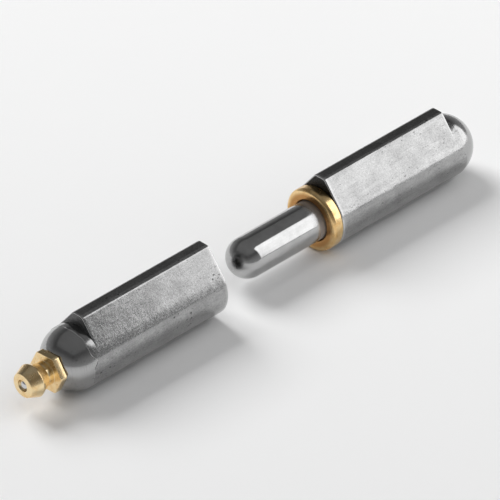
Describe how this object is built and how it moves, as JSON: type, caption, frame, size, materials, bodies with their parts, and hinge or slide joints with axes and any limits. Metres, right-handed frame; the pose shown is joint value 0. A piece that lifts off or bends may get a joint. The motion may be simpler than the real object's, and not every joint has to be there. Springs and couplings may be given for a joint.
{
  "type": "weld-on barrel hinge",
  "caption": "Weld-on barrel hinge with its halves apart: a winged socket barrel with a grease nipple, in line with a winged pin barrel that carries a brass thrust washer.",
  "frame": {"origin": "centre of the pin half's weld face, the narrow flat along its wing's tip", "axes": "+Z out of the weld faces; X along the hinge axis, which runs below the origin, with the pin and the socket half towards -X; Y across the barrels"},
  "size_m": [0.1136, 0.0126, 0.0149],
  "materials": {
    "drawn_steel": "cold-drawn bar skin, dull and finely pitted, with faint lengthwise drawing lines and bright turned ends",
    "pin_steel": "ground and polished",
    "washer_brass": "turned brass, lightly tarnished on the rim",
    "nipple_brass": "bright turned brass",
    "ball_steel": "polished bearing steel",
    "spring_steel": "drawn spring wire"
  },
  "bodies": {
    "pin_half": {"pin_barrel": "drawn_steel", "hinge_pin": "pin_steel"},
    "washer": {"thrust_washer": "washer_brass"},
    "socket_half": {"socket_barrel": "drawn_steel", "nipple_body": "nipple_brass", "nipple_spring": "spring_steel"},
    "check_ball": {"nipple_ball": "ball_steel"}
  },
  "joints": [
    {"name": "turn", "type": "hinge", "parent": "pin_half", "child": "washer", "pos_m": [-0.01575, 0, -0.00865], "axis": [1, 0, 0], "continuous": true},
    {"name": "slide_on", "type": "slide", "parent": "washer", "child": "socket_half", "axis": [1, 0, 0], "range_m": [0, 0.0273]},
    {"name": "ball_press", "type": "slide", "parent": "socket_half", "child": "check_ball", "axis": [1, 0, 0], "range_m": [0, 0.0008], "stiffness_N_per_m": 300, "springref_m": -0.001, "deforming": ["nipple_spring"]}
  ]
}
